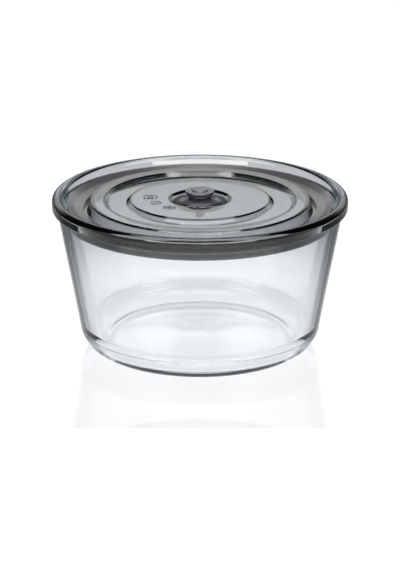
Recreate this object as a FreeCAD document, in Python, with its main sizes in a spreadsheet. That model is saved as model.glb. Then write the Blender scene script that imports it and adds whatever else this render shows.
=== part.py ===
import FreeCAD
import Part
import math
import os
import re
import Sketcher

# Round glass food container with a smoked plastic valve lid. The origin is the middle of the
# standing ring, on the surface the bowl stands on, and +Z is the axis every piece turns about.
# Lengths are millimetres and drafts are degrees.

SIZES = {
    # Glass bowl
    "rim_diameter": 215.0,
    "bowl_height": 114.0,
    "bead_width": 7.7,
    "bead_drop": 9.0,
    "bead_overhang": 3.6,
    "crown_round": 3.5,
    "outer_draft": 10.2,
    "inner_draft": 11.9,
    "floor_thickness": 7.0,
    "outer_corner_round": 18.0,
    "inner_corner_round": 18.5,
    "foot_ring_width": 10.0,
    "push_up_slope_width": 18.0,
    "push_up_height": 1.5,
    # Lid, from the bowl's mouth inwards
    "flange_gap": 9.3,
    "flange_width": 8.6,
    "flange_sink": 11.4,
    "flange_thickness": 2.2,
    "lid_wall": 2.3,
    "lid_wall_draft": 14.5,
    "plate_sink": 2.9,
    "plateau_width": 10.2,
    "channel_slope_width": 2.85,
    "channel_width": 13.0,
    "channel_depth": 2.8,
    "step_bevel": 0.5,
    "well_lip_radius": 22.3,
    "well_lip_width": 1.0,
    "well_lip_rise": 0.5,
    "well_lip_drop": 1.8,
    "well_lip_slope_width": 3.0,
    "well_wall_lean": 2.1,
    "well_depth": 5.1,
    "well_floor_thickness": 2.0,
    "valve_hole_radius": 3.2,
    # Seal ring
    "seal_clearance": 0.3,
    "slot_clearance": 0.1,
    "seal_lip_gap": 3.3,
    "seal_lip_sink": 5.4,
    "seal_lip_width": 1.6,
    "seal_lip_flare": 1.8,
    "seal_lip_slope_width": 5.3,
    "seal_dish_sink": 7.6,
    "seal_inner_gap": 2.6,
    "seal_inner_sink": 8.8,
    "seal_lower_leaf": 2.3,
    "seal_body_wall": 2.4,
    "seal_foot_sink": 18.2,
    "seal_fin_height": 2.0,
    "seal_groove_depth": 1.4,
    "seal_groove_width": 0.8,
    "seal_band_height": 3.0,
    "seal_waist_wall": 2.4,
    "seal_waist_slope": 1.0,
    # Valve
    "knob_diameter": 21.6,
    "knob_thickness": 3.0,
    "knob_rise": 5.9,
    "knob_bevel": 0.6,
    "knob_taper": 1.2,
    "knob_under_drop": 0.6,
    "knob_middle_radius": 5.4,
    "knob_middle_rise": 0.9,
    "neck_radius": 7.0,
    "umbrella_radius": 15.2,
    "umbrella_sink": 1.5,
    "umbrella_rise": 3.0,
    "umbrella_bead_setback": 1.5,
    "umbrella_bead_width": 0.8,
    "umbrella_bead_rise": 0.35,
    "umbrella_lip": 0.9,
    "umbrella_dip": 1.6,
    "umbrella_overhang": 5.2,
    "stem_clearance": 0.3,
    "valve_travel": 3.0,
    "bulb_radius": 4.2,
    "bulb_length": 5.2,
    "stem_tip_radius": 2.8,
    "rib_count": 14,
    "rib_width": 0.9,
    "rib_height": 0.6,
    "rib_setback": 3.9,
    "rib_length": 3.4,
}

document = FreeCAD.newDocument("food_container")
sheet = document.addObject("Spreadsheet::Sheet", "Sizes")
for row, (name, size) in enumerate(SIZES.items(), start=1):
    sheet.set(f"A{row}", name)
    sheet.set(f"B{row}", str(size))
    sheet.setAlias(f"B{row}", name)
document.recompute()


def sized(expression):
    """Name the sheet in front of each size that the expression uses."""
    return re.sub(r"\b([a-z]+(?:_[a-z]+)+)\b", r"Sizes.\1", expression)


def origin_plane(body, role):
    """The body's own origin plane or axis with this role."""
    return next(feature for feature in body.Origin.OriginFeatures if feature.Role == role)


def upright_sketch(body, name):
    """An empty sketch on the body's XZ plane: its x is the radius and its y the height."""
    sketch = body.newObject("Sketcher::SketchObject", name)
    sketch.AttachmentSupport = (origin_plane(body, "XZ_Plane"), [""])
    sketch.MapMode = "FlatFace"
    return sketch


def bind(sketch, kind, point, expression):
    """Hold one coordinate of a corner point to an expression of the sizes."""
    axis = {"DistanceX": -2, "DistanceY": -1}[kind]
    value = sketch.evalExpression(sized(expression))
    if abs(value) < 1e-9:
        sketch.addConstraint(Sketcher.Constraint("PointOnObject", point, 1, axis))
        return
    index = sketch.addConstraint(Sketcher.Constraint(kind, -1, 1, point, 1, value))
    sketch.setExpression(f"Constraints[{index}]", sized(expression))


def outline(sketch, corners):
    """Closed outline through corners of (radius, height, round), each an expression.

    Every corner is a construction point held by its own two sizes. Straight runs lie on the
    corners, and a corner with a round gets an arc that is tangent to both of its runs.
    """
    values = [[float(sketch.evalExpression(sized(part))) for part in corner] for corner in corners]
    spots = [FreeCAD.Vector(radius, height, 0) for radius, height, _ in values]
    count = len(corners)
    arrivals, departures, arcs = [], [], []
    for index, (_, _, size) in enumerate(values):
        here = spots[index]
        back = (spots[index - 1] - here).normalize()
        ahead = (spots[(index + 1) % count] - here).normalize()
        if size == 0:
            arrivals.append(here)
            departures.append(here)
            arcs.append(None)
            continue
        half = back.getAngle(ahead) / 2
        arrivals.append(here + back * (size / math.tan(half)))
        departures.append(here + ahead * (size / math.tan(half)))
        centre = here + (back + ahead).normalize() * (size / math.sin(half))
        turns_left = back.cross(ahead).z < 0
        arcs.append((centre, size, turns_left))
    runs = []
    for index in range(count):
        run = Part.LineSegment(departures[index], arrivals[(index + 1) % count])
        runs.append(sketch.addGeometry(run, False))
    points = []
    for spot, (radius, height, _) in zip(spots, corners):
        point = sketch.addGeometry(Part.Point(spot), True)
        bind(sketch, "DistanceX", point, radius)
        bind(sketch, "DistanceY", point, height)
        points.append(point)
    for index, arc in enumerate(arcs):
        arriving, leaving, point = runs[index - 1], runs[index], points[index]
        if arc is None:
            sketch.addConstraint(Sketcher.Constraint("Coincident", arriving, 2, point, 1))
            sketch.addConstraint(Sketcher.Constraint("Coincident", leaving, 1, point, 1))
            continue
        centre, size, turns_left = arc
        first, last = arrivals[index] - centre, departures[index] - centre
        if not turns_left:
            first, last = last, first
        circle = Part.Circle(centre, FreeCAD.Vector(0, 0, 1), size)
        bend = Part.ArcOfCircle(circle, math.atan2(first.y, first.x), math.atan2(last.y, last.x))
        bend_id = sketch.addGeometry(bend, False)
        entry, leave = (1, 2) if turns_left else (2, 1)
        sketch.addConstraint(Sketcher.Constraint("PointOnObject", point, 1, arriving))
        sketch.addConstraint(Sketcher.Constraint("PointOnObject", point, 1, leaving))
        sketch.addConstraint(Sketcher.Constraint("Tangent", arriving, 2, bend_id, entry))
        sketch.addConstraint(Sketcher.Constraint("Tangent", bend_id, leave, leaving, 1))
        held = sketch.addConstraint(Sketcher.Constraint("Radius", bend_id, size))
        sketch.setExpression(f"Constraints[{held}]", sized(corners[index][2]))


def turned_body(name, corners):
    """A body made by one full turn of an outline about the upright axis."""
    body = document.addObject("PartDesign::Body", name)
    body.Label = name
    sketch = upright_sketch(body, f"{name}_section")
    outline(sketch, corners)
    turn = body.newObject("PartDesign::Revolution", f"{name}_turn")
    turn.Profile = (sketch, [""])
    turn.ReferenceAxis = (sketch, ["V_Axis"])
    turn.Angle = 360
    body.Tip = turn
    return body


# Radii and heights that more than one piece is built to.
RIM = "rim_diameter / 2"
MOUTH = f"({RIM} - bead_width)"
PLATE_TOP = "(bowl_height - plate_sink)"
WELL_FLOOR = f"({PLATE_TOP} - well_depth)"
FLANGE_TOP = "(bowl_height - flange_sink)"
FLANGE_RADIUS = f"({MOUTH} - flange_gap)"
LID_FOOT_RADIUS = f"({FLANGE_RADIUS} - flange_width)"


def glass_radius(height):
    """Radius of the bowl's inner wall at a height."""
    return f"({MOUTH} - (bowl_height - crown_round - ({height})) * tan(inner_draft))"


def lid_side(height):
    """Radius of the lid's leaning outer wall at a height."""
    return f"({LID_FOOT_RADIUS} - ({height} - {FLANGE_TOP}) * tan(lid_wall_draft))"


def glass_bowl():
    """Pressed glass: round crown and bead, tapered wall, thick corner, standing ring and push-up."""
    neck = f"({RIM} - bead_overhang)"
    bead_foot = "(bowl_height - bead_drop)"
    wall_foot = f"({neck} - {bead_foot} * tan(outer_draft))"
    ring_outer = f"({wall_foot} - outer_corner_round / tan(45 + outer_draft / 2))"
    ring_inner = f"({ring_outer} - foot_ring_width)"
    return turned_body("glass_bowl", [
        ("0", "push_up_height", "0"),
        (f"{ring_inner} - push_up_slope_width", "push_up_height", "0"),
        (ring_inner, "0", "0"),
        (wall_foot, "0", "outer_corner_round"),
        (neck, bead_foot, "0"),
        (RIM, bead_foot, "0"),
        (RIM, "bowl_height", "crown_round"),
        (f"{MOUTH} + crown_round * tan(inner_draft)", "bowl_height", "crown_round"),
        (glass_radius("floor_thickness"), "floor_thickness", "inner_corner_round"),
        ("0", "floor_thickness", "0"),
    ])


def lid():
    """Smoked moulding of even wall: plate, ring channel, plateau, outer wall, seal flange, well."""
    flange_foot = f"({FLANGE_TOP} - flange_thickness)"
    plateau_outer = lid_side(PLATE_TOP)
    plateau_inner = f"({plateau_outer} - plateau_width)"
    channel_outer = f"({plateau_inner} - channel_slope_width)"
    channel_inner = f"({channel_outer} - channel_width)"
    plate_edge = f"({channel_inner} - channel_slope_width)"
    channel_floor = f"({PLATE_TOP} - channel_depth)"
    well_side = "(well_lip_radius - well_lip_slope_width)"
    well_corner = f"({well_side} - well_wall_lean)"
    well_foot = f"({WELL_FLOOR} - well_floor_thickness)"
    underside = f"({PLATE_TOP} - lid_wall)"
    channel_underside = f"({channel_floor} - lid_wall)"
    bevel_foot = f"({PLATE_TOP} - step_bevel)"
    half_wall = "lid_wall / 2"
    return turned_body("lid", [
        ("valve_hole_radius", WELL_FLOOR, "0"),
        (well_corner, WELL_FLOOR, "0"),
        (well_side, f"{PLATE_TOP} - well_lip_drop", "0"),
        ("well_lip_radius", f"{PLATE_TOP} + well_lip_rise", "0"),
        ("well_lip_radius + well_lip_width", PLATE_TOP, "0"),
        (f"{plate_edge} - step_bevel", PLATE_TOP, "0"),
        (plate_edge, bevel_foot, "0"),
        (channel_inner, channel_floor, "0"),
        (channel_outer, channel_floor, "0"),
        (plateau_inner, bevel_foot, "0"),
        (f"{plateau_inner} + step_bevel", PLATE_TOP, "0"),
        (f"{plateau_outer} - step_bevel", PLATE_TOP, "0"),
        (lid_side(bevel_foot), bevel_foot, "0"),
        (LID_FOOT_RADIUS, FLANGE_TOP, "0"),
        (FLANGE_RADIUS, FLANGE_TOP, "0"),
        (FLANGE_RADIUS, flange_foot, "0"),
        (f"{LID_FOOT_RADIUS} - lid_wall", flange_foot, "0"),
        (f"{plateau_outer} - lid_wall", underside, "0"),
        (f"{plateau_inner} + {half_wall}", underside, "0"),
        (f"{channel_outer} + {half_wall}", channel_underside, "0"),
        (f"{channel_inner} - {half_wall}", channel_underside, "0"),
        (f"{plate_edge} - {half_wall}", underside, "0"),
        (f"{well_side} + lid_wall", underside, "0"),
        (f"{well_corner} + {half_wall}", f"{well_foot} + step_bevel", "0"),
        (f"{well_corner} + {half_wall} - step_bevel", well_foot, "0"),
        ("valve_hole_radius", well_foot, "0"),
    ])


def seal_ring():
    """Silicone ring: dished top leaf with a lip, slot round the lid's flange, fin and band on the glass."""
    slot_top = f"({FLANGE_TOP} + slot_clearance)"
    slot_foot = f"({FLANGE_TOP} - flange_thickness - slot_clearance)"
    slot_end = f"({FLANGE_RADIUS} + slot_clearance)"
    lip = "(bowl_height - seal_lip_sink)"
    lip_edge = f"({MOUTH} - seal_lip_gap)"
    lip_foot = f"({lip} - seal_lip_width)"
    inner_edge = f"({LID_FOOT_RADIUS} + seal_inner_gap)"
    leaf_foot = f"({slot_foot} - seal_lower_leaf)"
    leaf_edge = f"({LID_FOOT_RADIUS} - lid_wall / 2)"
    foot = "(bowl_height - seal_foot_sink)"
    fin_top = f"({foot} + seal_fin_height)"
    band_foot = f"({fin_top} + seal_groove_width)"
    band_top = f"({band_foot} + seal_band_height)"
    side = f"({glass_radius(foot)} - seal_clearance - seal_groove_depth)"
    waist = f"({slot_end} + seal_waist_wall)"

    def at_glass(height):
        """Corner that lies close to the tapered glass at a height."""
        return f"{glass_radius(height)} - seal_clearance", height, "0"

    return turned_body("seal_ring", [
        (inner_edge, "bowl_height - seal_inner_sink", "0"),
        (inner_edge, slot_top, "0"),
        (slot_end, slot_top, "0"),
        (slot_end, slot_foot, "0"),
        (leaf_edge, slot_foot, "0"),
        (leaf_edge, leaf_foot, "0"),
        (f"{side} - seal_body_wall", leaf_foot, "0"),
        (f"{side} - seal_body_wall / 2", foot, "0"),
        (side, foot, "0"),
        at_glass(fin_top),
        (side, fin_top, "0"),
        (side, band_foot, "0"),
        at_glass(band_foot),
        at_glass(band_top),
        (waist, f"{band_top} + seal_waist_slope", "0"),
        (waist, f"{lip_foot} - seal_lip_flare", "0"),
        (lip_edge, lip_foot, "0"),
        (lip_edge, lip, "0"),
        (f"{lip_edge} - seal_lip_width / 2", lip, "0"),
        (f"{lip_edge} - seal_lip_slope_width", "bowl_height - seal_dish_sink", "0"),
    ])


def valve():
    """Silicone plug: knob on a neck, umbrella with ribs and a bead, foot on the floor, stem, bulb."""
    knob_top = f"({PLATE_TOP} + knob_rise)"
    knob_foot = f"({knob_top} - knob_thickness)"
    umbrella_edge = f"({PLATE_TOP} - umbrella_sink)"
    umbrella_top = f"({umbrella_edge} + umbrella_rise)"
    stem = "(valve_hole_radius - stem_clearance)"
    bulb_top = f"({WELL_FLOOR} - well_floor_thickness - valve_travel - stem_clearance)"
    tip = f"({bulb_top} - bulb_length)"
    foot_edge = "(umbrella_radius - umbrella_overhang)"
    rib_outer = "(umbrella_radius - rib_setback)"
    rib_inner = f"({rib_outer} - rib_length)"

    def umbrella_height(radius):
        """Height of the umbrella's sloping top at a radius."""
        slope = "umbrella_rise / (umbrella_radius - neck_radius)"
        return f"({umbrella_edge} + (umbrella_radius - {radius}) * {slope})"

    bead = "(umbrella_radius - umbrella_bead_setback)"
    bead_outer = f"({bead} + umbrella_bead_width / 2)"
    bead_inner = f"({bead} - umbrella_bead_width / 2)"

    body = turned_body("valve", [
        ("0", f"{knob_top} + knob_middle_rise", "0"),
        ("0", tip, "0"),
        ("stem_tip_radius", tip, "0"),
        ("bulb_radius", bulb_top, "0"),
        (stem, bulb_top, "0"),
        (stem, WELL_FLOOR, "0"),
        (foot_edge, WELL_FLOOR, "0"),
        (foot_edge, f"{umbrella_edge} - umbrella_dip", "0"),
        ("umbrella_radius", f"{umbrella_edge} - umbrella_lip", "0"),
        ("umbrella_radius", umbrella_edge, "0"),
        (bead_outer, umbrella_height(bead_outer), "0"),
        (bead, f"{umbrella_height(bead)} + umbrella_bead_rise", "0"),
        (bead_inner, umbrella_height(bead_inner), "0"),
        ("neck_radius", umbrella_top, "0"),
        ("neck_radius", f"{knob_foot} - knob_under_drop", "0"),
        ("knob_diameter / 2 - knob_taper", knob_foot, "0"),
        ("knob_diameter / 2", f"{knob_top} - knob_bevel", "0"),
        ("knob_diameter / 2 - knob_bevel", knob_top, "0"),
        ("knob_middle_radius + knob_middle_rise", knob_top, "0"),
        ("knob_middle_radius", f"{knob_top} + knob_middle_rise", "0"),
    ])
    rib_sketch = upright_sketch(body, "rib_section")
    outline(rib_sketch, [
        (rib_inner, f"{umbrella_height(rib_inner)} - rib_height", "0"),
        (rib_outer, f"{umbrella_height(rib_outer)} - rib_height", "0"),
        (rib_outer, f"{umbrella_height(rib_outer)} + rib_height / 2", "0"),
        (rib_inner, f"{umbrella_height(rib_inner)} + rib_height", "0"),
    ])
    rib = body.newObject("PartDesign::Pad", "rib")
    rib.Profile = (rib_sketch, [""])
    rib.SideType = "Symmetric"
    rib.setExpression("Length", sized("rib_width"))
    ribs = body.newObject("PartDesign::PolarPattern", "ribs")
    ribs.Originals = [rib]
    ribs.Axis = (origin_plane(body, "Z_Axis"), [""])
    ribs.Angle = 360
    ribs.setExpression("Occurrences", sized("rib_count"))
    body.Tip = ribs
    return body


PIECES = [glass_bowl(), lid(), seal_ring(), valve()]
document.recompute()

for thing in document.Objects:
    if "Invalid" in thing.State or "Error" in thing.State:
        raise RuntimeError(f"{thing.Name} did not build: {thing.State}")
for piece in PIECES:
    if piece.Shape.isNull() or not piece.Shape.isValid() or len(piece.Shape.Solids) != 1:
        raise RuntimeError(f"{piece.Label} is not one valid solid")

os.makedirs("parts", exist_ok=True)
for piece in PIECES:
    piece.Shape.exportStep(f"parts/{piece.Label}.step")
    box = piece.Shape.BoundBox
    print(f"{piece.Label}: {piece.Shape.Volume / 1000:.1f} cm3, z {box.ZMin:.2f} to {box.ZMax:.2f}, "
          f"radius {box.XMax:.2f}, {len(piece.Shape.Faces)} faces")
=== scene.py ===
import math

import bpy
import numpy as np
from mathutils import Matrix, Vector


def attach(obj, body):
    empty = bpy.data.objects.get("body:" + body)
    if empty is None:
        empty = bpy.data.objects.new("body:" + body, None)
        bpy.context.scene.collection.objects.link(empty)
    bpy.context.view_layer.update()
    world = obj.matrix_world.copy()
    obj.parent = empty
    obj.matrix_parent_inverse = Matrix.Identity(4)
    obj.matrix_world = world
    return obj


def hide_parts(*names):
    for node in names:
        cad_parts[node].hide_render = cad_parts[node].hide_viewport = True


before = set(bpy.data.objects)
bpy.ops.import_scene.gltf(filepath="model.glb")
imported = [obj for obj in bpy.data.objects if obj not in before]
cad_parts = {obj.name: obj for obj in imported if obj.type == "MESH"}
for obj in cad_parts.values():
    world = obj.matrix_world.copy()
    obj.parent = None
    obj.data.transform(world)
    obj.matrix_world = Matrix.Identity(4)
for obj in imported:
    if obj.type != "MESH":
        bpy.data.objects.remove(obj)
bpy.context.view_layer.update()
scene = bpy.context.scene
scene.view_settings.view_transform = "Standard"


# Glass bowl.
# Clear soda-lime glass, pressed in one shot between a mould and a plunger, then fire polished.
# The mould's ring closes on its base plate just above the round corner, which leaves a fine line.

def rounded(corners):
    """Profile through (radius, height, round) corners in millimetres, as points and outward normals.

    A corner of round q and turn t is cut back along both runs by q tan(t / 2). Between the cuts the
    normal turns evenly from the first run's to the second's, and the point is the arc's centre plus
    q times that normal, or minus it in a hollow corner.
    """
    sharpest, large_round = 0.02, 2
    spots = np.array([corner[:2] for corner in corners], float)
    after = np.roll(spots, -1, axis=0) - spots
    area = np.sum(spots[:, 0] * np.roll(spots[:, 1], -1) - np.roll(spots[:, 0], -1) * spots[:, 1])
    outward = 1 if area > 0 else -1
    points, normals = [], []
    for index, (radius, height, size) in enumerate(corners):
        into, out_of = after[index - 1], after[index]
        into, out_of = into / np.hypot(*into), out_of / np.hypot(*out_of)
        normal = outward * np.array([into[1], -into[0]])
        if radius == 0:
            points.append([[0, height]])
            normals.append([[0, np.sign(normal[1] if index else -outward * out_of[0])]])
            continue
        turn = math.atan2(into[0] * out_of[1] - into[1] * out_of[0], into @ out_of)
        bulge = np.sign(turn) * outward
        size = max(size, sharpest)
        centre = spots[index] - into * size * math.tan(abs(turn) / 2) - bulge * size * normal
        degrees_a_step = 5 if size > large_round else 12
        count = max(2, math.ceil(abs(math.degrees(turn)) / degrees_a_step))
        angles = math.atan2(normal[1], normal[0]) + turn * np.linspace(0, 1, count + 1)
        fan = np.column_stack([np.cos(angles), np.sin(angles)])
        points.append(centre + bulge * size * fan)
        normals.append(fan)
    return np.vstack(points), np.vstack(normals)


def turned(name, corners, segments=288):
    """Closed surface turned about Z, in metres.

    Point (i, j) is (r_j cos a_i, r_j sin a_i, z_j), with a_i = 2 pi i / segments and r_j, z_j from the
    rounded profile. A profile that starts and ends on the axis has one vertex at each pole.
    """
    profile, slopes = rounded(corners)
    to_axis = corners[0][0] == 0
    inner = slice(1, -1) if to_axis else slice(None)
    turn = 2 * np.pi * np.arange(segments) / segments
    grid, lean = profile[inner] * 0.001, slopes[inner]
    rows = len(grid)
    cos, sin = np.cos(turn)[:, None], np.sin(turn)[:, None]
    spots = np.stack([cos * grid[:, 0], sin * grid[:, 0], np.tile(grid[:, 1], (segments, 1))], -1)
    leans = np.stack([cos * lean[:, 0], sin * lean[:, 0], np.tile(lean[:, 1], (segments, 1))], -1)
    spots, leans = spots.reshape(-1, 3), leans.reshape(-1, 3)
    i, j = np.meshgrid(np.arange(segments), np.arange(rows - 1 if to_axis else rows), indexing="ij")
    i_next, j_next = (i + 1) % segments, (j + 1) % rows
    quads = np.stack([i * rows + j, i_next * rows + j, i_next * rows + j_next, i * rows + j_next], -1)
    faces = [quads.reshape(-1, 4)]
    if to_axis:
        ends = profile[[0, -1]] * 0.001
        spots = np.vstack([spots, [[0, 0, ends[0, 1]], [0, 0, ends[1, 1]]]])
        leans = np.vstack([leans, [[0, 0, slopes[0, 1]], [0, 0, slopes[-1, 1]]]])
        here = np.arange(segments)
        there = (here + 1) % segments
        first, last = np.full(segments, len(spots) - 2), np.full(segments, len(spots) - 1)
        faces.append(np.stack([first, there * rows, here * rows], -1))
        faces.append(np.stack([last, here * rows + rows - 1, there * rows + rows - 1], -1))
    area = np.sum(profile[:, 0] * np.roll(profile[:, 1], -1) - np.roll(profile[:, 0], -1) * profile[:, 1])
    if area < 0:
        faces = [block[:, ::-1] for block in faces]
    mesh = bpy.data.meshes.new(name)
    mesh.from_pydata(spots.tolist(), [], [face for block in faces for face in block.tolist()])
    mesh.polygons.foreach_set("use_smooth", np.ones(len(mesh.polygons), bool))
    mesh.normals_split_custom_set_from_vertices(leans.tolist())
    piece = bpy.data.objects.new(name, mesh)
    scene.collection.objects.link(piece)
    return piece


def node_adder(tree):
    """A function that adds a node to the tree, with its settings, and its inputs as values or links."""
    def add(kind, inputs=(), **settings):
        node = tree.nodes.new(f"ShaderNode{kind}")
        for key, value in settings.items():
            setattr(node, key, value)
        for key, value in dict(inputs).items():
            if isinstance(value, bpy.types.NodeSocket):
                tree.links.new(value, node.inputs[key])
            else:
                node.inputs[key].default_value = value
        return node

    return add


def material(name):
    """An empty node material, and the function that adds its nodes."""
    made = bpy.data.materials.new(name)
    made.use_nodes = True
    made.node_tree.nodes.clear()
    return made, node_adder(made.node_tree)


def ramp(node, stops):
    """Fill a colour ramp with (place, colour) stops. Its own two take the first and the last."""
    elements = node.color_ramp.elements
    for element, (place, colour) in zip((elements[0], elements[1]), (stops[0], stops[-1])):
        element.position = place
        element.color = (*colour, 1)
    for place, colour in stops[1:-1]:
        elements.new(place).color = (*colour, 1)


def handling_marks():
    """Group: fine scuffs and wipe marks from Object coordinates, as a roughness and a height."""
    group = bpy.data.node_groups.new("handling_marks", "ShaderNodeTree")
    for label, value in (("Scale", 60), ("Roughness", 0.1), ("Spread", 0.05)):
        socket = group.interface.new_socket(label, in_out="INPUT", socket_type="NodeSocketFloat")
        socket.default_value = value
    for label in ("Roughness", "Height"):
        group.interface.new_socket(label, in_out="OUTPUT", socket_type="NodeSocketFloat")
    put = node_adder(group)
    given, result = group.nodes.new("NodeGroupInput"), group.nodes.new("NodeGroupOutput")
    place = put("TexCoord")
    broad = put("TexNoise", {"Vector": place.outputs["Object"], "Scale": given.outputs["Scale"], "Detail": 3})
    finer = put("Math", {0: given.outputs["Scale"], 1: 14}, operation="MULTIPLY")
    fine = put("TexNoise", {"Vector": place.outputs["Object"], "Scale": finer.outputs[0], "Detail": 6})
    spread = put("Math", {0: broad.outputs["Fac"], 1: given.outputs["Spread"],
                          2: given.outputs["Roughness"]}, operation="MULTIPLY_ADD")
    group.links.new(spread.outputs[0], result.inputs["Roughness"])
    group.links.new(fine.outputs["Fac"], result.inputs["Height"])
    return group


MARKS = handling_marks()

glass, add = material("clear_glass")
flow = add("TexNoise", {"Scale": 18, "Detail": 0})
ripple = add("Bump", {"Strength": 0.004, "Distance": 0.001, "Height": flow.outputs["Fac"]})
polish = add("Group", {"Scale": 40, "Roughness": 0.0, "Spread": 0.01}, node_tree=MARKS)
# Painted shade: glass seen at a grazing angle is painted dark teal, a stand-in for the dark surroundings its
# edges show, mixed with the glass's own teal tint.
edge = add("LayerWeight", {"Blend": 0.5})
edge_tint_and_shade = add("ValToRGB", {"Fac": edge.outputs["Facing"]})
ramp(edge_tint_and_shade, [(0, (1, 1, 1)), (0.63, (1, 1, 1)), (0.69, (0.04, 0.085, 0.095)),
                 (0.82, (0.10, 0.19, 0.20)), (1, (0.36, 0.52, 0.54))])
outer = add("Attribute", attribute_name="outer_side")
edge_tinted_and_shaded = add("Mix", {"Factor": outer.outputs["Fac"], 6: (0.985, 0.99, 0.99, 1),
                     7: edge_tint_and_shade.outputs["Color"]}, data_type="RGBA")
# Painted shade: where the crown mask is set, the glass is painted near-black teal.
crown = add("Attribute", attribute_name="crown")
shaded = add("Mix", {"Factor": crown.outputs["Fac"], 6: edge_tinted_and_shaded.outputs[2], 7: (0.04, 0.08, 0.09, 1)},
             data_type="RGBA")
body = add("BsdfPrincipled", {
    "Base Color": shaded.outputs[2], "Roughness": polish.outputs["Roughness"],
    "Transmission Weight": 1.0, "IOR": 1.51, "Normal": ripple.outputs["Normal"]})
lamp_path = add("BsdfTransparent", {"Color": (0.97, 0.98, 0.98, 1)})
path = add("LightPath")
either = add("MixShader", {0: path.outputs["Is Shadow Ray"], 1: body.outputs[0], 2: lamp_path.outputs[0]})
depth = add("VolumeAbsorption", {"Color": (0.25, 0.33, 0.40, 1), "Density": 12.0})
add("OutputMaterial", {"Surface": either.outputs[0], "Volume": depth.outputs[0]})

bowl = turned("bowl_glass", [
    (0, 1.5, 0), (8, 1.5, 40), (60, 0, 8), (85.0, 0, 18),
    (87.74, 15.2, 0.05), (87.92, 15.45, 0.1), (87.83, 15.7, 0.05),
    (103.9, 105, 0.7), (107.5, 105, 1.0), (107.5, 114, 3.5), (100.54, 114, 3.5),
    (77.99, 7, 18.5), (0, 7, 0)])
bowl.data.materials.append(glass)

# The painted edge shade goes on the outer skin: none at the foot, more up the wall, all of it on the bead.
spots = np.empty(len(bowl.data.vertices) * 3)
bowl.data.vertices.foreach_get("co", spots)
radius, height = np.hypot(spots[0::3], spots[1::3]), spots[2::3]
foot_top, bead_foot, crown_foot = 0.012, 0.1035, 0.1106
mid_wall_radius = 0.0846 + height * math.tan(math.radians(10.2))
outside = (radius > mid_wall_radius) | (height > crown_foot)
outer_side = np.where(outside & (height > foot_top), np.clip(0.36 + height / 0.2, 0, 0.84), 0)
outer_side[outside & (height > bead_foot)] = 1.0
# Painted shade across the crown's top, strongest on its middle.
crown_painted_shade = np.interp(radius, (0.1000, 0.1012, 0.1070, 0.1076), (0.4, 0.85, 0.9, 0.5))
crown_painted_shade *= height > crown_foot
for name, values in (("outer_side", outer_side), ("crown", crown_painted_shade)):
    bowl.data.attributes.new(name, "FLOAT", "POINT").data.foreach_set("value", values)
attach(bowl, "bowl")
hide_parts("glass_bowl")


# Lid.
# See-through smoked grey plastic, injection moulded in one piece with an even wall: a centre plate,
# a ring channel, a plateau, a leaning side and a flange that the seal grips, with the valve's well.

smoke, add = material("smoked_plastic")
flow = add("TexNoise", {"Scale": 35, "Detail": 1})
ripple = add("Bump", {"Strength": 0.01, "Distance": 0.001, "Height": flow.outputs["Fac"]})
polish = add("Group", {"Scale": 70, "Roughness": 0.01, "Spread": 0.05}, node_tree=MARKS)
place = add("TexCoord")
parts = add("SeparateXYZ", {0: place.outputs["Object"]})
flat = add("CombineXYZ", {0: parts.outputs["X"], 1: parts.outputs["Y"]})
from_axis = add("VectorMath", {0: flat.outputs[0]}, operation="LENGTH")
# Painted shade: within about 21 mm of the axis and below the plate, the well is painted dark grey.
inside = add("MapRange", {"Value": from_axis.outputs["Value"], "From Min": 0.0206, "From Max": 0.0216,
                          "To Min": 1.0, "To Max": 0.0})
below = add("MapRange", {"Value": parts.outputs["Z"], "From Min": 0.1088, "From Max": 0.1098,
                         "To Min": 1.0, "To Max": 0.0})
well = add("Math", {0: inside.outputs[0], 1: below.outputs[0]}, operation="MULTIPLY")
colour = add("Mix", {"Factor": well.outputs[0], 6: (0.93, 0.94, 0.95, 1), 7: (0.22, 0.235, 0.245, 1)},
             data_type="RGBA")
body = add("BsdfPrincipled", {
    "Base Color": colour.outputs[2], "Roughness": polish.outputs["Roughness"],
    "Transmission Weight": 1.0, "IOR": 1.49, "Normal": ripple.outputs["Normal"]})
lamp_path = add("BsdfTransparent", {"Color": (0.62, 0.64, 0.65, 1)})
path = add("LightPath")
either = add("MixShader", {0: path.outputs["Is Shadow Ray"], 1: body.outputs[0], 2: lamp_path.outputs[0]})
depth = add("VolumeAbsorption", {"Color": (0.10, 0.16, 0.18, 1), "Density": 300.0})
add("OutputMaterial", {"Surface": either.outputs[0], "Volume": depth.outputs[0]})

lid = turned("lid_smoked", [
    (3.2, 106.0, 0.2), (17.2, 106.0, 0.6), (19.3, 109.3, 0.6), (22.3, 111.6, 0.5), (23.3, 111.1, 0.4),
    (50.55, 111.1, 0.5), (53.6, 108.3, 0.5), (66.6, 108.3, 0.5), (69.75, 111.1, 0.5), (79.6, 111.1, 0.6),
    (81.9, 102.6, 0.5), (90.5, 102.6, 0.4), (90.5, 100.4, 0.4), (79.6, 100.4, 0.4), (77.4, 108.8, 0.8),
    (70.65, 108.8, 0.5), (67.75, 106.0, 0.5), (52.45, 106.0, 0.5), (49.65, 108.8, 0.5), (21.6, 108.8, 0.6),
    (18.35, 104.0, 0.6), (3.2, 104.0, 0.2)])
lid.data.materials.append(smoke)
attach(lid, "lid")
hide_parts("lid")


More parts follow.
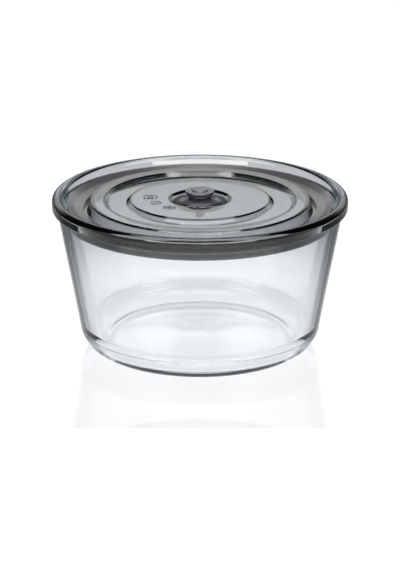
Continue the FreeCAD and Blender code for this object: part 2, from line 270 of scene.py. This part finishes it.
def blocks(name, boxes):
    """Straight-sided blocks, each from a foot outline and a top outline of four corners.

    Corners are in millimetres and run anticlockwise seen from above, the same way in both outlines.
    """
    corners = boxes.reshape(-1, 3) * 0.001
    sides = [(0, 3, 2, 1), (4, 5, 6, 7), (0, 1, 5, 4), (1, 2, 6, 5), (2, 3, 7, 6), (3, 0, 4, 7)]
    faces = 8 * np.arange(len(boxes))[:, None, None] + np.array(sides)
    mesh = bpy.data.meshes.new(name)
    mesh.from_pydata(corners.tolist(), [], faces.reshape(-1, 4).tolist())
    piece = bpy.data.objects.new(name, mesh)
    scene.collection.objects.link(piece)
    return piece


def arc(centre, radius, start, stop, steps):
    """Points along an arc in millimetres: the centre plus radius times (cos a, sin a), a in degrees."""
    turn = np.radians(np.linspace(start, stop, steps + 1))
    return np.array(centre) + radius * np.column_stack([np.cos(turn), np.sin(turn)])


def strokes(lines):
    """Blocks along lines of points, each from half a width on one side of the line to half on the other."""
    begin = np.vstack([line[:-1] for line in lines])
    end = np.vstack([line[1:] for line in lines])
    along = (end - begin) / np.hypot(*(end - begin).T)[:, None]
    across = along[:, ::-1] * (-1, 1)
    outlines = []
    for height, half in ((111.0, 0.42), (111.28, 0.28)):
        for spot in (begin + across * half, begin - across * half, end - across * half, end + across * half):
            outlines.append(np.column_stack([spot, np.full(len(spot), height)]))
    return np.stack(outlines, 1)


# Three small marks on the plate, left of the well: a square with a ring and a line, a ring with a
# tick, and a star of six barbed arms.
square = np.vstack([arc(corner, 1.6, start, start + 90, 4) for corner, start in (
    ((-33.2, 5.6), 0), ((-39.0, 5.6), 90), ((-39.0, -0.2), 180), ((-33.2, -0.2), 270))])
lines = [
    np.vstack([square, square[:1]]),
    arc((-36.1, 2.7), 2.2, 0, 360, 12),
    np.array([(-38.6, -0.4), (-33.6, -0.4)]),
    arc((-32.0, -11.6), 3.9, 200, 520, 16),
    np.array([(-34.6, -11.0), (-32.4, -13.2), (-29.0, -9.4)])]
hub, barb_start, barb_length, barb_lean = (-22.0, -23.2), 3.0, 1.6, 50
for spoke in range(30, 390, 60):
    inner, fork, outer_end = [arc(hub, reach, spoke, spoke, 0) for reach in (0.6, barb_start, 5.2)]
    lines.append(np.vstack([inner, outer_end]))
    for lean in (spoke + barb_lean, spoke - barb_lean):
        lines.append(np.vstack([fork, arc(fork, barb_length, lean, lean, 0)]))
marks = blocks("lid_marks", strokes(lines))
etched, add = material("etched_marks")
grain = add("TexNoise", {"Scale": 900, "Detail": 3})
tone = add("ValToRGB", {"Fac": grain.outputs["Fac"]})
ramp(tone, [(0, (0.03, 0.032, 0.034)), (1, (0.07, 0.073, 0.076))])
body = add("BsdfPrincipled", {"Base Color": tone.outputs["Color"], "Roughness": 0.55, "IOR": 1.49})
add("OutputMaterial", {"Surface": body.outputs[0]})
marks.data.materials.append(etched)
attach(marks, "lid")


# Seal ring.
# Grey-mauve silicone, compression moulded in one piece and stretched over the lid's flange. Its top
# leaf is dished and rises to a lip. Below a waist, a broad band and a thin fin follow the bowl's taper.
# Band and fin are painted pale as painted light, the waist and the fin's underside dark as painted shade.

silicone, add = material("seal_silicone")
polish = add("Group", {"Scale": 90, "Roughness": 0.14, "Spread": 0.08}, node_tree=MARKS)
skin = add("Bump", {"Strength": 0.12, "Distance": 0.0003, "Height": polish.outputs["Height"]})
dust = add("TexNoise", {"Scale": 300, "Detail": 5})
tone = add("ValToRGB", {"Fac": dust.outputs["Fac"]})
ramp(tone, [(0, (0.82, 0.82, 0.82)), (1, (1, 1, 1))])
place = add("TexCoord")
upright = add("SeparateXYZ", {0: place.outputs["Object"]})
level = add("MapRange", {"Value": upright.outputs["Z"], "From Min": 0.096, "From Max": 0.109})
painted_light_and_leaf_tone = add("ValToRGB", {"Fac": level.outputs[0]})
# From below: painted black shade under the fin, painted light on fin and band, painted shade on the
# waist, then the leaf's own grey.
ramp(painted_light_and_leaf_tone, [(0, (0, 0, 0)), (0, (0.62, 0.66, 0.68)), (0.40, (0.80, 0.85, 0.88)),
            (0.45, (0.015, 0.015, 0.017)), (0.66, (0.020, 0.019, 0.022)),
            (0.70, (0.10, 0.093, 0.103)), (1, (0.085, 0.078, 0.086))])
shade = add("Mix", {"Factor": 1.0, 6: painted_light_and_leaf_tone.outputs["Color"], 7: tone.outputs["Color"]},
            data_type="RGBA", blend_type="MULTIPLY")
body = add("BsdfPrincipled", {
    "Base Color": shade.outputs[2], "Roughness": polish.outputs["Roughness"], "IOR": 1.5,
    "Normal": skin.outputs["Normal"]})
add("OutputMaterial", {"Surface": body.outputs[0]})

seal = turned("seal_silicone", [
    (84.5, 105.2, 0.4), (84.5, 102.7, 0.1), (90.6, 102.7, 0.2), (90.6, 100.3, 0.2), (80.75, 100.3, 0.2),
    (80.75, 98.0, 0.3), (92.6, 98.0, 0.8), (93.8, 95.8, 0.5), (95.0, 95.8, 0.2), (96.82, 97.8, 0.15),
    (95.0, 97.8, 0.2), (95.0, 98.6, 0.2), (96.99, 98.6, 0.2), (97.62, 101.6, 0.4), (93.0, 102.6, 0.6),
    (93.0, 105.2, 0.8), (96.5, 107.0, 0.4), (96.5, 108.6, 0.5), (95.7, 108.6, 0.4), (91.2, 106.4, 5)])
seal.data.materials.append(silicone)
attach(seal, "lid")
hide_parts("seal_ring")


# Valve.
# Dark grey silicone, moulded in one piece and pulled through the hole of the well by its bulb: a
# knob to pinch, a neck, an umbrella with fourteen small ribs, and a foot that closes on the floor.

rubber, add = material("valve_silicone")
polish = add("Group", {"Scale": 120, "Roughness": 0.14, "Spread": 0.08}, node_tree=MARKS)
skin = add("Bump", {"Strength": 0.1, "Distance": 0.0002, "Height": polish.outputs["Height"]})
dust = add("TexNoise", {"Scale": 400, "Detail": 5})
tone = add("ValToRGB", {"Fac": dust.outputs["Fac"]})
ramp(tone, [(0, (0.050, 0.052, 0.060)), (1, (0.070, 0.072, 0.082))])
body = add("BsdfPrincipled", {
    "Base Color": tone.outputs["Color"], "Roughness": polish.outputs["Roughness"], "IOR": 1.5,
    "Normal": skin.outputs["Normal"]})
add("OutputMaterial", {"Surface": body.outputs[0]})

valve = turned("valve_silicone", [
    (0, 95.5, 0), (2.8, 95.5, 0.8), (4.2, 100.7, 0.5), (2.9, 100.7, 0.2), (2.9, 106.02, 0.1),
    (10.0, 106.02, 0.2), (10.0, 108.0, 0.5), (15.2, 108.7, 0.2), (15.2, 109.6, 0.3), (14.1, 109.98, 0.1),
    (13.7, 110.45, 0.2), (13.3, 110.3, 0.1), (7.0, 112.6, 0.8), (7.0, 113.4, 0.3), (9.6, 114.0, 0.3),
    (10.8, 116.4, 0.4), (10.2, 117.0, 0.5), (6.3, 117.0, 0.5), (5.4, 117.9, 0.6), (0, 117.9, 0)],
    segments=192)
valve.data.materials.append(rubber)
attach(valve, "valve")
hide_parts("valve")

# One rib as eight corners of (distance out, distance across, height), turned to each of its places.
rib_count = 14
reach, across, up = np.array([
    (7.9, 0.45, 111.7), (7.9, -0.45, 111.7), (11.3, -0.45, 110.43), (11.3, 0.45, 110.43),
    (7.9, 0.3, 112.9), (7.9, -0.3, 112.9), (11.3, -0.3, 111.33), (11.3, 0.3, 111.33)]).T
turn = 2 * np.pi * np.arange(rib_count)[:, None] / rib_count
cos, sin = np.cos(turn), np.sin(turn)
ribs = blocks("valve_ribs", np.stack([
    reach * cos - across * sin, reach * sin + across * cos, np.tile(up, (rib_count, 1))], -1))
ribs.data.materials.append(rubber)
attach(ribs, "valve")


# Floor, light and camera.
# A white table top with a glossy sheet on it that mirrors the bowl faintly, before a backdrop that is
# brightest a little above the horizon. Soft lamps stand above, at both sides and in front, and cards
# stand in for the bright fronts that the glass mirrors. The camera has the photograph's angle.

def white_plane(name, front, height, glow, roughness, shine):
    """Part of the white table top behind a front edge.

    It is plain white to the camera. In mirrored views and views through the glass it is dimmed with
    the distance from the bowl's axis, and again to the sides, which gives the glass its grey edges.
    """
    reach = 8.0
    mesh = bpy.data.meshes.new(name)
    mesh.from_pydata([(-reach, front, height), (reach, front, height), (reach, reach, height),
                      (-reach, reach, height)], [], [(0, 1, 2, 3)])
    plane = bpy.data.objects.new(name, mesh)
    scene.collection.objects.link(plane)
    made, put = material(name)
    path = put("LightPath")
    mirrored = put("Math", {0: path.outputs["Is Glossy Ray"], 1: 0.7}, operation="MULTIPLY")
    through = put("Math", {0: path.outputs["Is Transmission Ray"], 1: 1.28}, operation="MULTIPLY")
    seen = put("Math", {0: mirrored.outputs[0], 1: through.outputs[0]}, operation="MAXIMUM")
    spot = put("TexCoord")
    away = put("VectorMath", {0: spot.outputs["Object"]}, operation="LENGTH")
    near = put("MapRange", {"Value": away.outputs["Value"], "From Max": 0.7})
    fade = put("ValToRGB", {"Fac": near.outputs[0]})
    levels = [(0, 1.0), (0.12, 1.0), (0.155, 0.86), (0.21, 1.0), (0.26, 1.0), (0.34, 0.72),
              (0.8, 0.2), (1, 0.1)]
    ramp(fade, [(place, (level,) * 3) for place, level in levels])
    faded = put("Math", {0: seen.outputs[0], 1: fade.outputs[0]}, operation="MULTIPLY")
    parts = put("SeparateXYZ", {0: spot.outputs["Object"]})
    across = put("Math", {0: parts.outputs["X"]}, operation="ABSOLUTE")
    wings = put("MapRange", {"Value": across.outputs[0], "From Min": 0.11, "From Max": 0.20,
                             "To Min": 1.0, "To Max": 0.35})
    dimmed = put("Math", {0: faded.outputs[0], 1: wings.outputs[0]}, operation="MULTIPLY")
    either = put("Math", {0: path.outputs["Is Camera Ray"], 1: dimmed.outputs[0]}, operation="MAXIMUM")
    strength = put("Math", {0: either.outputs[0], 1: glow}, operation="MULTIPLY")
    top = put("BsdfPrincipled", {
        "Base Color": (0.1, 0.1, 0.1, 1), "Roughness": roughness, "Specular IOR Level": shine,
        "Emission Color": (0.975, 0.98, 1.0, 1), "Emission Strength": strength.outputs[0]})
    put("OutputMaterial", {"Surface": top.outputs[0]})
    mesh.materials.append(made)


white_plane("table", front=-8.0, height=-0.0006, glow=1.0, roughness=1.0, shine=0.0)
white_plane("glossy_sheet", front=-0.168, height=-0.0002, glow=0.80, roughness=0.01, shine=0.5)

world = bpy.data.worlds.new("studio")
scene.world = world
world.use_nodes = True
world.node_tree.nodes.clear()
put = node_adder(world.node_tree)
view = put("TexCoord")
toward = put("SeparateXYZ", {0: view.outputs["Generated"]})
backdrop = put("ValToRGB", {"Fac": toward.outputs["Z"]})
levels = [(0, 0.0), (0, 0.2), (0.14, 0.35), (0.22, 0.75), (0.30, 1.2), (0.37, 1.2), (0.45, 0.5),
          (0.6, 0.12), (0.8, 0.05)]
ramp(backdrop, [(place, (level,) * 3) for place, level in levels])
behind = put("MapRange", {"Value": toward.outputs["Y"], "From Min": 0.62, "From Max": 0.86})
room = put("Mix", {"Factor": behind.outputs[0], 6: (0.03, 0.035, 0.04, 1), 7: backdrop.outputs["Color"]},
           data_type="RGBA")
path = put("LightPath")
open_view = put("Mix", {"Factor": path.outputs["Is Camera Ray"], 6: room.outputs[2], 7: (1, 1, 1, 1)},
                data_type="RGBA")
dim = put("MapRange", {"Value": path.outputs["Is Diffuse Ray"], "To Min": 1.0, "To Max": 0.3})
sky = put("Background", {"Color": open_view.outputs[2], "Strength": dim.outputs[0]})
put("OutputWorld", {"Surface": sky.outputs[0]})


def facing_bowl(thing, azimuth, elevation, distance):
    """Stand a lamp or card at a distance from the bowl, turned to face it.

    Its place is distance times (sin a cos e, -cos a cos e, sin e) from a point 80 mm above the floor.
    """
    a, e = math.radians(azimuth), math.radians(elevation)
    away = Vector((math.sin(a) * math.cos(e), -math.cos(a) * math.cos(e), math.sin(e)))
    thing.location = away * distance + Vector((0, 0, 0.08))
    thing.rotation_euler = away.to_track_quat("Z", "Y").to_euler()
    scene.collection.objects.link(thing)


def softbox(name, azimuth, elevation, distance, size, power):
    """Area lamp that lights the bowl from a direction."""
    lamp = bpy.data.lights.new(name, "AREA")
    lamp.shape = "RECTANGLE"
    lamp.size, lamp.size_y = size
    lamp.energy = power
    box = bpy.data.objects.new(name, lamp)
    facing_bowl(box, azimuth, elevation, distance)
    return box


def gleam_card(name, azimuth, elevation, distance, size, strength, through=False):
    """Bright front of a softbox, which glossy surfaces show and, if said, views through glass too."""
    x, y = size[0] / 2, size[1] / 2
    mesh = bpy.data.meshes.new(name)
    mesh.from_pydata([(-x, -y, 0), (x, -y, 0), (x, y, 0), (-x, y, 0)], [], [(0, 1, 2, 3)])
    card = bpy.data.objects.new(name, mesh)
    front, put = material(name)
    shine = put("Emission", {"Strength": strength})
    put("OutputMaterial", {"Surface": shine.outputs[0]})
    mesh.materials.append(front)
    card.visible_camera = card.visible_diffuse = False
    card.visible_transmission = through
    card.visible_shadow = card.visible_volume_scatter = False
    facing_bowl(card, azimuth, elevation, distance)


softbox("lamp_top", 180, 86, 1.6, (1.2, 1.2), 26)
softbox("lamp_left", -53, 34, 1.7, (1.2, 1.2), 3)
fill = softbox("lamp_front", 0, 8, 1.7, (3.2, 0.7), 26)
fill.visible_glossy = fill.visible_transmission = False
softbox("lamp_right", 53, 34, 1.7, (1.2, 1.2), 3)
gleam_card("gleam_left", -53, 34, 1.6, (0.9, 1.3), 5, through=True)
gleam_card("gleam_right", 53, 34, 1.6, (0.9, 1.3), 5, through=True)
gleam_card("low_left", -28, 8, 1.6, (0.62, 0.7), 9)
gleam_card("low_middle", 0, 8, 1.7, (3.0, 0.75), 8)
gleam_card("low_right", 28, 8, 1.6, (0.62, 0.7), 9)
gleam_card("top_card", 0, 76, 1.6, (2.0, 0.8), 4.5)

# The view's middle passes 66 mm below the rim's centre, measured across the line of sight.
pitch = math.radians(19.03)
camera_distance = 1.8155
aim_drop = -0.0659
rim_height = 0.114
camera = bpy.data.objects.new("camera", bpy.data.cameras.new("camera"))
camera.location = (
    0, -camera_distance * math.cos(pitch) + aim_drop * math.sin(pitch),
    rim_height + camera_distance * math.sin(pitch) + aim_drop * math.cos(pitch))
camera.rotation_euler = (math.pi / 2 - pitch, 0, 0)
camera.data.lens = 157.9
camera.data.sensor_width = 36
scene.collection.objects.link(camera)
scene.camera = camera

scene.cycles.max_bounces = 24
scene.cycles.transmission_bounces = 24
scene.cycles.glossy_bounces = 8
scene.cycles.transparent_max_bounces = 24
scene.cycles.caustics_refractive = False
scene.cycles.caustics_reflective = False
